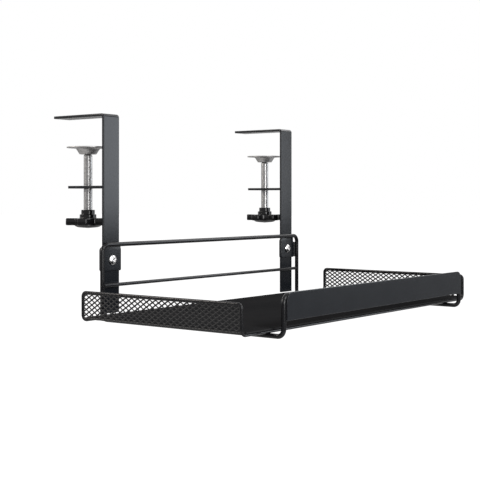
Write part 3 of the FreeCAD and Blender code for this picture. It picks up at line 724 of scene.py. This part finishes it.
def channel_nut(side, sign):
    """Hexagon nut: its corners cut by a shallow cone on both faces, with a bored hole."""
    flats, thick, face, cone_angle = 10.0, 5.0, 4.85, 28
    bore, bore_edge = 3.05, 0.4
    angle = full_turn(HEXAGON_SIDES)
    circle = np.ones_like(angle)
    sides = hexagon(angle, flats)
    drop = (sides - face) * math.tan(math.radians(cone_angle))
    half = [(circle * bore, circle * bore_edge), (circle * (bore + bore_edge), circle * 0),
            (circle * face, circle * 0), (sides, drop)]
    rows = half + [(radius, thick - height) for radius, height in reversed(half)]
    radii, heights = [np.stack(column) for column in zip(*rows)]
    shell = Shell().rings(polar(radii, heights, angle, (sign * BAR_X, 0, BOLT_Z), "Y"), closed=True)
    shell.finish(f"{side}_nut", f"{side}_channel_nut", "shelf", "plated_steel", BOLT_PLATE, crease=25)


def leg_rod(side, sign):
    """Wire under the shelf, turned up at both ends."""
    shell = tube(staple(FRONT_Y, REAR_Y, JOINT_Z, LEG_Z, LEG_BEND), WIRE, sign * WIRE_X, "YZ")
    shell.finish(f"{side}_leg", f"{side}_leg_rod", "shelf", "black_wire")


def end_rim(side, sign):
    """Wire over one end of the shelf, from one rail's upturned end to the other's."""
    path = staple(TRAY_FRONT_Y + RAIL, TRAY_REAR_Y - RAIL, RIM_JOINT_Z, RIM_TOP_Z, RIM_BEND, RIM_STEPS)
    shell = tube(path, RAIL, sign * RIM_X, "YZ", RAIL_SIDES)
    shell.finish(f"{side}_rim", f"{side}_end_rim", "shelf", "black_wire")


def diamond_cells(low, high, sign):
    """Expanded metal over a rectangle: in each diamond cell, rings from the strands' middles to the hole.

    A strand's section is an oval, so its height at share s from its middle to its edge is
    half_thick * sqrt(1 - s * s), and it leans: its edge lies further in above a hole and further out
    below it. A hole's four corners are drawn in a little, which rounds them.
    """
    half_thick, lean, corner_round, part_way = 0.55, 0.22, 0.93, 0.6
    half =np.array([CELL_ALONG, CELL_UP]) / 2
    first = np.floor((low - FIRST_CELL) / half).astype(int)
    last = np.ceil((high - FIRST_CELL) / half).astype(int) + 1
    across, up = np.mgrid[first[0]:last[0], first[1]:last[1]]
    staggered = (across + up) % 2 == 0
    centres = FIRST_CELL + np.stack([across[staggered], up[staggered]], axis=-1) * half
    ring = bearings(full_turn(CELL_SIDES))
    cell = ring / np.abs(ring).sum(1)[:, None]
    hole = cell * (1 - STRAND / 2 * math.hypot(*half) / (half[0] * half[1]))
    hole[::2] *= corner_round
    share = np.array([0, part_way, 1, part_way, 0])[:, None]
    face = np.array([1, 1, 0, -1, -1])[:, None]
    heights = face * np.sqrt(1 - share ** 2) * half_thick - lean * share * ring[None, :, 1]
    flat = (cell * (1 - share[:, :, None]) + hole * share[:, :, None]) * half
    grid = placed(centres[:, None, None] + flat, sign * RIM_X + sign * heights, "YZ")
    firsts = heights.size * np.arange(len(centres))[:, None, None]
    quads = np.array(grid_faces(*heights.shape)) + firsts
    return grid.reshape(-1, 3), quads.reshape(-1, 4).tolist()


def trim_cells(work, low, high):
    """Cuts the cells off at the rectangle's four sides and across its two upper corners."""
    corner = RIM_BEND * (2 - math.sqrt(2))
    cuts = [(low, (-1, 0)), (low, (0, -1)), (high, (1, 0)), (high, (0, 1)),
            ((low[0] + corner, high[1]), (-1, 1)), ((high[0] - corner, high[1]), (1, 1))]
    for (y, z), (toward_y, toward_z) in cuts:
        parts = work.verts[:] + work.edges[:] + work.faces[:]
        bmesh.ops.bisect_plane(work, geom=parts, dist=SHELL_REACH, plane_co=(0, y * MM, z * MM),
                               plane_no=(0, toward_y, toward_z), clear_outer=True)
    bmesh.ops.holes_fill(work, edges=[edge for edge in work.edges if edge.is_boundary], sides=0)


def add_hem(work, low, high, sign):
    """Folded hem: a flat oval section carried round the mesh, just inside the rim and over the floor."""
    inside, above, half_width, half_thick = 1.4, 1.1, 1.1, 0.5
    front, rear, floor, top = low[0] + inside, high[0] - inside, low[1] + above, high[1] - inside
    points, ways = outline([(front, floor, inside), (rear, floor, inside), (rear, top, RIM_BEND - inside),
                            (front, top, RIM_BEND - inside)], steps=HEM_STEPS)
    oval = full_turn(HEM_SIDES)
    flat = points[:, None] + left_of(ways)[:, None] * (half_width * np.cos(oval))[None, :, None]
    band = placed(flat, sign * RIM_X + half_thick * np.sin(oval)[None, :], "YZ") * MM
    corners = [work.verts.new(point) for point in band.reshape(-1, 3).tolist()]
    for face in grid_faces(len(points), len(oval), closed=True):
        work.faces.new([corners[index] for index in face])


def end_mesh(side, sign):
    """Expanded metal in one end: its cells, trimmed inside the rim and the rails, with a folded hem."""
    low = np.array([TRAY_FRONT_Y + RAIL, FLOOR_LOW_Z])
    high = np.array([TRAY_REAR_Y - RAIL, RIM_TOP_Z])
    points, quads = diamond_cells(low, high, sign)
    mesh, work = welded(f"{side}_mesh", points, quads, CELL_REACH)
    trim_cells(work, low, high)
    add_hem(work, low, high, sign)
    make_piece(f"{side}_mesh", mesh, work, f"{side}_end_mesh", "shelf", MESH_COAT, crease=60)


for side, sign in SIDES.items():
    bracket_bar(side, sign)
    clamp_plate(side, sign)
    clamp_screw(side, sign)
    clamp_pad(side, sign)
    star_knob(side, sign)
    saddle_channel(side, sign)
    channel_bolt(side, sign)
    channel_nut(side, sign)
    leg_rod(side, sign)
    end_rim(side, sign)
    end_mesh(side, sign)


# Pieces that run from end to end

def guard_rod(name, y, top_z):
    """Wire that rises from one leg, crosses over and comes down to the other."""
    shell = tube(staple(-WIRE_X, WIRE_X, JOINT_Z, top_z, GUARD_BEND), WIRE, y, "XZ")
    shell.finish(name.replace("_rod", ""), name, "shelf", "black_wire")


def rail(name, y):
    """Wire under one long edge of the floor, turned up at both ends."""
    shell = tube(staple(-RIM_X, RIM_X, RIM_JOINT_Z, RAIL_Z, RAIL_BEND), RAIL, y, "XZ", RAIL_SIDES)
    shell.finish(name + "_wire", name, "shelf", "black_wire")


def rear_mid_rod():
    """Thinner straight rod with eased ends, turned from its side profile, between the rear uprights."""
    radius, ease, clearance = 2.0, 0.2, 0.05
    half = WIRE_X - WIRE - clearance
    profile, _ = outline([(0, -half, 0), (radius, -half, ease), (radius, half, ease), (0, half, 0)],
                         closed=False)
    shell = lathe(profile, (0, REAR_Y, MID_ROD_Z), "X", WIRE_SIDES)
    shell.finish("rear_mid_wire", "rear_mid_rod", "shelf", "black_wire")


def front_panel():
    """Strip of sheet on the front guard's outer side, its upper corners well rounded."""
    half, low, height, thick = WIRE_X - 0.8, LEG_Z + 15.4, 27.2, 1.2
    low_round, top_round, ease = 1.0, 10.0, 0.3
    corners = [(-half, low, low_round), (half, low, low_round),
               (half, low + height, top_round), (-half, low + height, top_round)]
    rear = FRONT_Y - WIRE
    shell = slab(corners, rear - thick, rear, ease, "XZ", steps=PANEL_STEPS)
    shell.finish("panel", "front_panel", "shelf", "black_steel")


def floor_plate():
    """Sheet over the rails, notched at its corners, where the rails turn up. One quarter is mirrored."""
    end, step, notch = RIM_X - 0.6, RIM_X - RAIL_BEND, 2 * RAIL + 0.05
    notch_round, corner_round, ease = 0.5, 0.8, 0.35
    quarter = [(end, notch, notch_round), (step, notch, notch_round), (step, 0, corner_round)]
    rear_right = [(x, TRAY_REAR_Y - y, bend) for x, y, bend in quarter]
    front_right = [(x, TRAY_FRONT_Y + y, bend) for x, y, bend in reversed(quarter)]
    right = front_right + rear_right
    left = [(-x, y, bend) for x, y, bend in reversed(right)]
    shell = slab(right + left, FLOOR_LOW_Z, FLOOR_LOW_Z + FLOOR_THICK, ease)
    shell.finish("shelf_floor", "floor_plate", "shelf", "black_steel", FLOOR_COAT)


guard_rod("rear_guard_rod", REAR_Y, GUARD_Z)
guard_rod("front_guard_rod", FRONT_Y, FRONT_GUARD_Z)
rail("front_rail", TRAY_FRONT_Y + RAIL)
rail("rear_rail", TRAY_REAR_Y - RAIL)
rear_mid_rod()
front_panel()
floor_plate()


# Studio: a pale floor, white all round, five soft lamps and the camera, all in metres

def studio_floor(reach, level, dark, light, glow):
    """Wide pale plane under the object, made brighter for the camera so that it ends in white."""
    mesh = bpy.data.meshes.new("studio_floor")
    mesh.from_pydata([(-reach, -reach, level), (reach, -reach, level), (reach, reach, level),
                      (-reach, reach, level)], [], [(0, 1, 2, 3)])
    finish = Finish("studio_floor")
    rays = finish.node("ShaderNodeLightPath")
    seen = Value(finish, rays.outputs["Is Camera Ray"])
    shade = finish.mix(finish.noise(waves=3, detail=2), dark, light)
    matt = finish.node("ShaderNodeBsdfDiffuse", {}, {"Color": shade})
    bright = finish.node("ShaderNodeEmission", {}, {"Color": (1, 1, 1, 1), "Strength": seen * glow})
    both = finish.node("ShaderNodeAddShader", {}, {0: matt.outputs[0], 1: bright.outputs[0]})
    finish.node("ShaderNodeOutputMaterial", {}, {"Surface": both.outputs[0]})
    mesh.materials.append(finish.material)
    floor = bpy.data.objects.new("studio_floor", mesh)
    bpy.context.scene.collection.objects.link(floor)


def studio_world(level):
    """White to the camera, to gloss and through glass, and a soft fill of that level for the rest."""
    world = bpy.data.worlds.new("studio")
    bpy.context.scene.world = world
    world.use_nodes = True
    tree = world.node_tree
    tree.nodes.clear()
    rays = tree.nodes.new("ShaderNodeLightPath")
    seen = rays.outputs["Is Camera Ray"]
    for name in ("Is Glossy Ray", "Is Transmission Ray"):
        most = tree.nodes.new("ShaderNodeMath")
        most.operation = "MAXIMUM"
        tree.links.new(seen, most.inputs[0])
        tree.links.new(rays.outputs[name], most.inputs[1])
        seen = most.outputs[0]
    share = tree.nodes.new("ShaderNodeMath")
    share.operation = "MULTIPLY_ADD"
    tree.links.new(seen, share.inputs[0])
    share.inputs[1].default_value = 1 - level
    share.inputs[2].default_value = level
    sky = tree.nodes.new("ShaderNodeBackground")
    sky.inputs["Color"].default_value = (1, 1, 1, 1)
    tree.links.new(share.outputs[0], sky.inputs["Strength"])
    out = tree.nodes.new("ShaderNodeOutputWorld")
    tree.links.new(sky.outputs[0], out.inputs["Surface"])


def lamp(name, spot, aim, width, height, watts, colour=(1, 1, 1)):
    """Soft rectangular lamp at a spot, facing its aim."""
    light = bpy.data.lights.new(name, "AREA")
    light.shape = "RECTANGLE"
    light.size, light.size_y, light.energy, light.color = width, height, watts, colour
    thing = bpy.data.objects.new(name, light)
    thing.location = spot
    thing.rotation_euler = (Vector(aim) - Vector(spot)).to_track_quat("-Z", "Y").to_euler()
    bpy.context.scene.collection.objects.link(thing)


def level_camera(spot, way, lens, shift_x, shift_y):
    """The photograph's camera: where it stands, the level way it looks, its lens for a 36 mm sensor."""
    eye = bpy.data.cameras.new("camera")
    eye.lens, eye.sensor_width, eye.shift_x, eye.shift_y = lens, 36.0, shift_x, shift_y
    camera = bpy.data.objects.new("camera", eye)
    camera.location = spot
    camera.rotation_euler = Vector(way).to_track_quat("-Z", "Y").to_euler()
    bpy.context.scene.collection.objects.link(camera)
    bpy.context.scene.camera = camera


MIDDLE = (0, -0.1, -0.14)
WARM, COOL = (1.0, 0.93, 0.86), (0.87, 0.93, 1.0)

studio_floor(reach=30.0, level=-0.73, dark=(0.84, 0.84, 0.84), light=(0.87, 0.87, 0.87), glow=0.75)
studio_world(level=0.40)
lamp("key_lamp", (1.25, -1.27, 0.17), (0, -0.05, -0.05), width=0.72, height=0.70, watts=7.4, colour=COOL)
lamp("front_lamp", (-0.30, -1.46, 0.72), MIDDLE, width=0.6, height=0.55, watts=13)
lamp("low_front_lamp", (-0.62, -1.50, 0.02), MIDDLE, width=0.6, height=0.6, watts=12)
lamp("right_lamp", (1.30, -0.35, 0.95), (0, -0.1, -0.12), width=0.9, height=0.6, watts=6)
lamp("rear_lamp", (-1.15, 0.85, 0.50), (-0.15, -0.1, -0.15), width=0.4, height=0.3, watts=10, colour=WARM)
level_camera(spot=(-1.01606, -0.83363, -0.09054), way=(0.793, 0.609, 0), lens=79.63,
             shift_x=-0.0007, shift_y=-0.0874)
bpy.context.scene.view_settings.view_transform = "Standard"
